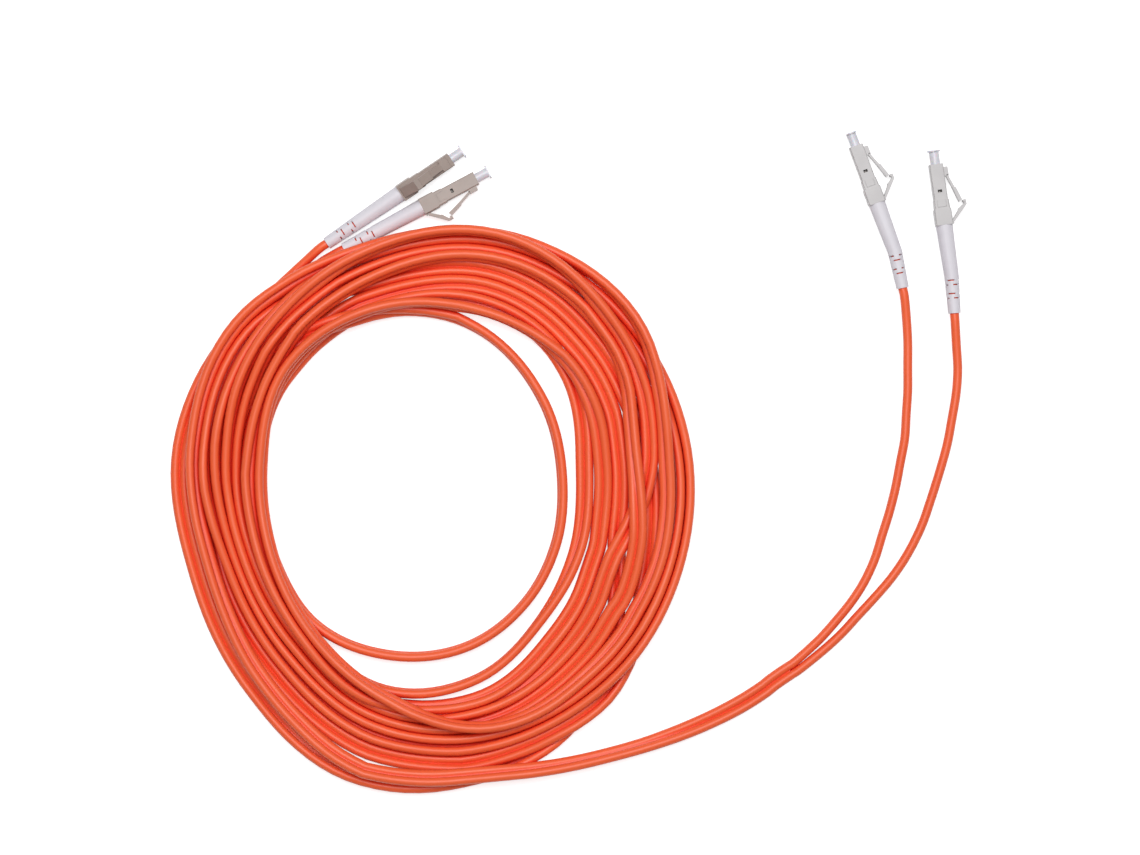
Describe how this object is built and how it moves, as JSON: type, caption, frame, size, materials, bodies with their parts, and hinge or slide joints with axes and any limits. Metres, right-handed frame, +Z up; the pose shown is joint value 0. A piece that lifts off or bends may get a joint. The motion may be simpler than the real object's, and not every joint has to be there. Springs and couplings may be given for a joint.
{
  "type": "fiber optic patch cord",
  "caption": "Coiled orange duplex fiber cord with latched small-form-factor plugs on both ends, white strain-relief boots and pull-off dust caps",
  "frame": {"origin": "on the surface the cord lies on, under the middle of the box of the four connectors", "axes": "+X to the right and +Y away from the viewer of the coil laid flat, +Z up from the surface"},
  "size_m": [0.2626, 0.2179, 0.0115],
  "materials": {
    "jacket": "orange vinyl, soft sheen",
    "body_plastic": "moulded beige plastic, satin",
    "boot_rubber": "white rubber, smooth",
    "cap_plastic": "milky white plastic",
    "zirconia": "ground and polished",
    "holder_steel": "turned steel",
    "spring_steel": "bright wire",
    "fiber_glass": "clear",
    "crimp_nickel": "nickel plated",
    "sleeve_brass": "plain drawn",
    "buffer": "white plastic",
    "yarn": "straight yellow yarn"
  },
  "bodies": {
    "cord": {"front_housing_1a": "body_plastic", "front_housing_1b": "body_plastic", "front_housing_2a": "body_plastic", "front_housing_2b": "body_plastic", "rear_body_1a": "body_plastic", "rear_body_1b": "body_plastic", "rear_body_2a": "body_plastic", "rear_body_2b": "body_plastic", "ferrule_spring_1a": "spring_steel", "ferrule_spring_1b": "spring_steel", "ferrule_spring_2a": "spring_steel", "ferrule_spring_2b": "spring_steel", "crimp_body_1a": "crimp_nickel", "crimp_body_1b": "crimp_nickel", "crimp_body_2a": "crimp_nickel", "crimp_body_2b": "crimp_nickel", "crimp_sleeve_1a": "sleeve_brass", "crimp_sleeve_1b": "sleeve_brass", "crimp_sleeve_2a": "sleeve_brass", "crimp_sleeve_2b": "sleeve_brass", "boot_1a": "boot_rubber", "boot_1b": "boot_rubber", "boot_2a": "boot_rubber", "boot_2b": "boot_rubber", "jacket_end_1a": "jacket", "jacket_end_1b": "jacket", "jacket_end_2a": "jacket", "jacket_end_2b": "jacket", "cord_leg_1a": "jacket", "cord_leg_1b": "jacket", "cord_leg_2a": "jacket", "cord_leg_2b": "jacket", "cord_coil": "jacket", "cord_lead_out": "jacket", "buffer_tubes": "buffer", "aramid_yarns": "yarn"},
    "latch_1a": {"latch_lever_1a": "body_plastic"},
    "trigger_1a": {"trigger_lever_1a": "body_plastic"},
    "plug_1a": {"ferrule_1a": "zirconia", "ferrule_holder_1a": "holder_steel", "glass_fiber_1a": "fiber_glass"},
    "cap_1a": {"dust_cap_1a": "cap_plastic"},
    "latch_1b": {"latch_lever_1b": "body_plastic"},
    "trigger_1b": {"trigger_lever_1b": "body_plastic"},
    "plug_1b": {"ferrule_1b": "zirconia", "ferrule_holder_1b": "holder_steel", "glass_fiber_1b": "fiber_glass"},
    "cap_1b": {"dust_cap_1b": "cap_plastic"},
    "latch_2a": {"latch_lever_2a": "body_plastic"},
    "trigger_2a": {"trigger_lever_2a": "body_plastic"},
    "plug_2a": {"ferrule_2a": "zirconia", "ferrule_holder_2a": "holder_steel", "glass_fiber_2a": "fiber_glass"},
    "cap_2a": {"dust_cap_2a": "cap_plastic"},
    "latch_2b": {"latch_lever_2b": "body_plastic"},
    "trigger_2b": {"trigger_lever_2b": "body_plastic"},
    "plug_2b": {"ferrule_2b": "zirconia", "ferrule_holder_2b": "holder_steel", "glass_fiber_2b": "fiber_glass"},
    "cap_2b": {"dust_cap_2b": "cap_plastic"}
  },
  "joints": [
    {"name": "latch_1a_press", "type": "hinge", "parent": "cord", "child": "latch_1a", "pos_m": [-0.06764, 0.01738, 0.00635], "axis": [0.5535, -0.8145, -0.1736], "range_deg": [0, 12], "stiffness_Nm_per_rad": 0.05},
    {"name": "trigger_1a_press", "type": "hinge", "parent": "cord", "child": "trigger_1a", "pos_m": [-0.07997, 0.00901, 0.0063], "axis": [-0.5535, 0.8145, 0.1736], "range_deg": [0, 17], "stiffness_Nm_per_rad": 0.02},
    {"name": "ferrule_1a_slide", "type": "slide", "parent": "cord", "child": "plug_1a", "axis": [0.8271, 0.5621, 0], "range_m": [-0.002, 0], "stiffness_N_per_m": 1000, "deforming": ["ferrule_spring_1a"]},
    {"name": "cap_1a_pull", "type": "slide", "parent": "cord", "child": "cap_1a", "axis": [0.8271, 0.5621, 0], "range_m": [0, 0.01]},
    {"name": "latch_1b_press", "type": "hinge", "parent": "cord", "child": "latch_1b", "pos_m": [-0.05838, 0.00909, 0.0028], "axis": [0, 0, -1], "range_deg": [0, 12], "stiffness_Nm_per_rad": 0.05},
    {"name": "trigger_1b_press", "type": "hinge", "parent": "cord", "child": "trigger_1b", "pos_m": [-0.07153, 0.0021, 0.0028], "axis": [0, 0, 1], "range_deg": [0, 17], "stiffness_Nm_per_rad": 0.02},
    {"name": "ferrule_1b_slide", "type": "slide", "parent": "cord", "child": "plug_1b", "axis": [0.8813, 0.4726, 0], "range_m": [-0.002, 0], "stiffness_N_per_m": 1000, "deforming": ["ferrule_spring_1b"]},
    {"name": "cap_1b_pull", "type": "slide", "parent": "cord", "child": "cap_1b", "axis": [0.8813, 0.4726, 0], "range_m": [0, 0.01]},
    {"name": "latch_2a_press", "type": "hinge", "parent": "cord", "child": "latch_2a", "pos_m": [0.07366, 0.02172, 0.0028], "axis": [0, 0, -1], "range_deg": [0, 12], "stiffness_Nm_per_rad": 0.05},
    {"name": "trigger_2a_press", "type": "hinge", "parent": "cord", "child": "trigger_2a", "pos_m": [0.0788, 0.00774, 0.0028], "axis": [0, 0, 1], "range_deg": [0, 17], "stiffness_Nm_per_rad": 0.02},
    {"name": "ferrule_2a_slide", "type": "slide", "parent": "cord", "child": "plug_2a", "axis": [-0.3486, 0.9373, 0], "range_m": [-0.002, 0], "stiffness_N_per_m": 1000, "deforming": ["ferrule_spring_2a"]},
    {"name": "cap_2a_pull", "type": "slide", "parent": "cord", "child": "cap_2a", "axis": [-0.3486, 0.9373, 0], "range_m": [0, 0.01]},
    {"name": "latch_2b_press", "type": "hinge", "parent": "cord", "child": "latch_2b", "pos_m": [0.0993, 0.01469, 0.0028], "axis": [0, 0, -1], "range_deg": [0, 12], "stiffness_Nm_per_rad": 0.05},
    {"name": "trigger_2b_press", "type": "hinge", "parent": "cord", "child": "trigger_2b", "pos_m": [0.10138, -0.00006, 0.0028], "axis": [0, 0, 1], "range_deg": [0, 17], "stiffness_Nm_per_rad": 0.02},
    {"name": "ferrule_2b_slide", "type": "slide", "parent": "cord", "child": "plug_2b", "axis": [-0.1426, 0.9898, 0], "range_m": [-0.002, 0], "stiffness_N_per_m": 1000, "deforming": ["ferrule_spring_2b"]},
    {"name": "cap_2b_pull", "type": "slide", "parent": "cord", "child": "cap_2b", "axis": [-0.1426, 0.9898, 0], "range_m": [0, 0.01]}
  ],
  "couplings": [
    {"joint": "trigger_1a_press", "follows": "latch_1a_press", "ratio": 1.4},
    {"joint": "trigger_1b_press", "follows": "latch_1b_press", "ratio": 1.4},
    {"joint": "trigger_2a_press", "follows": "latch_2a_press", "ratio": 1.4},
    {"joint": "trigger_2b_press", "follows": "latch_2b_press", "ratio": 1.4}
  ]
}
